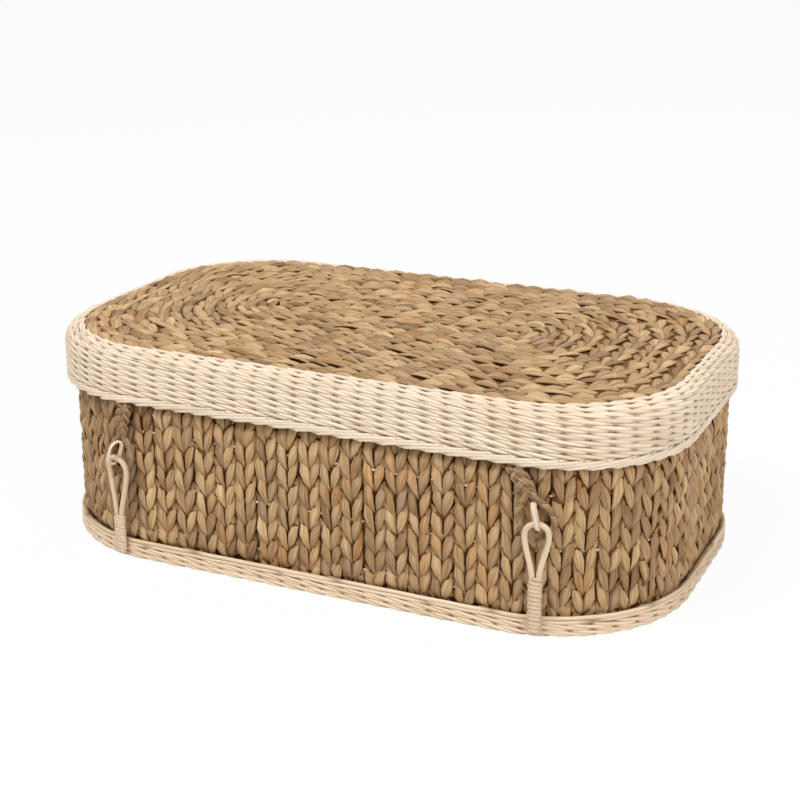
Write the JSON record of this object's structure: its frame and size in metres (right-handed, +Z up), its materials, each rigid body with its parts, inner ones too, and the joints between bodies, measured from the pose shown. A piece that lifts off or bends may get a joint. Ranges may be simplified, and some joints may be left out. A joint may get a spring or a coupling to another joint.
{
  "type": "wicker keepsake casket",
  "caption": "Woven keepsake casket: a plaited wall on a cane foot and a lift-off lid with a deep skirt, tied down by plaited straps with links on cane loops.",
  "frame": {"origin": "on the ground, under the middle of the casket's bounding box", "axes": "+Z up, +X along the long side to the right, -Y out of the front long side"},
  "size_m": [0.5, 0.3276, 0.168],
  "materials": {
    "hyacinth": "matte",
    "plaited_strap": "matte",
    "cane": "satin",
    "binding_cane": "satin"
  },
  "bodies": {
    "basket": {"base_trim": "cane", "base_panel": "hyacinth", "wall_weave": "hyacinth", "wall_border": "cane", "cane_loop_front_left": "binding_cane", "cane_loop_front_right": "binding_cane", "cane_loop_back_left": "binding_cane", "cane_loop_back_right": "binding_cane", "loop_whipping_front_left": "binding_cane", "loop_whipping_front_right": "binding_cane", "loop_whipping_back_left": "binding_cane", "loop_whipping_back_right": "binding_cane"},
    "lid": {"lid_hoop": "cane", "lid_border": "cane", "lid_band": "cane", "lid_panel": "hyacinth", "strap_front_left": "plaited_strap", "strap_front_right": "plaited_strap", "strap_back_left": "plaited_strap", "strap_back_right": "plaited_strap"},
    "front_left_link": {"link_front_left": "binding_cane"},
    "front_right_link": {"link_front_right": "binding_cane"},
    "back_left_link": {"link_back_left": "binding_cane"},
    "back_right_link": {"link_back_right": "binding_cane"}
  },
  "joints": [
    {"name": "lid_lift", "type": "slide", "parent": "basket", "child": "lid", "axis": [0, 0, 1], "range_m": [0, 0.1]},
    {"name": "front_left_link_swing", "type": "hinge", "parent": "basket", "child": "front_left_link", "pos_m": [-0.16077, -0.15888, 0.0825], "axis": [0.9868, -0.1619, 0], "range_deg": [0, 150]},
    {"name": "front_right_link_swing", "type": "hinge", "parent": "basket", "child": "front_right_link", "pos_m": [0.1707, -0.1568, 0.0865], "axis": [0.9689, 0.2476, 0], "range_deg": [0, 150]},
    {"name": "back_left_link_swing", "type": "hinge", "parent": "basket", "child": "back_left_link", "pos_m": [-0.1707, 0.1568, 0.0865], "axis": [-0.9689, -0.2476, 0], "range_deg": [0, 150]},
    {"name": "back_right_link_swing", "type": "hinge", "parent": "basket", "child": "back_right_link", "pos_m": [0.16077, 0.15888, 0.0825], "axis": [-0.9868, 0.1619, 0], "range_deg": [0, 150]}
  ]
}
